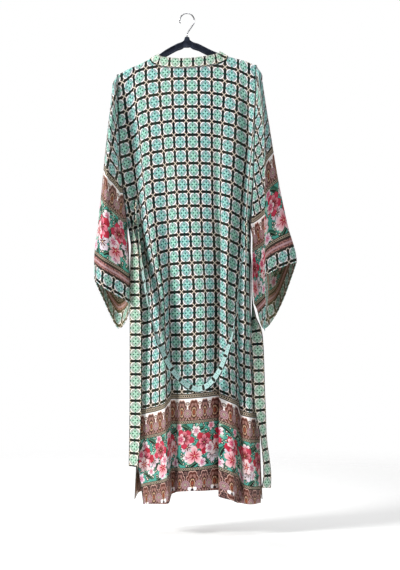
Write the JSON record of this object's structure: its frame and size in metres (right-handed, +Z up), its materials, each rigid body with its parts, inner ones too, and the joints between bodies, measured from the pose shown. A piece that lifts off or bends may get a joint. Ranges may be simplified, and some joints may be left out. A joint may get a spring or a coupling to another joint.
{
  "type": "kimono coat on a hanger",
  "caption": "Long printed kimono coat with open fronts, short wide sleeves and a loose belt, hanging on a moulded hanger with a wire hook.",
  "frame": {"origin": "inside crown of the hanger's hook, where it hangs on a rail", "axes": "+Z up, +X to the right as the back is seen, +Y from the back of the coat to its front"},
  "size_m": [0.6061, 0.1938, 1.4748],
  "materials": {
    "printed_cloth": "matt, light woven cloth with a print",
    "belt_cloth": "matt, the same cloth folded double",
    "hanger_plastic": "dark blue moulded plastic, satin",
    "hook_steel": "bright wire"
  },
  "bodies": {
    "root": {"back_panel": "printed_cloth", "front_left": "printed_cloth", "front_right": "printed_cloth", "sleeve_left": "printed_cloth", "sleeve_right": "printed_cloth", "neckband": "printed_cloth", "belt": "belt_cloth", "belt_loop_left": "belt_cloth", "belt_loop_right": "belt_cloth", "hanger": "hanger_plastic", "hanger_hook": "hook_steel"}
  },
  "joints": []
}
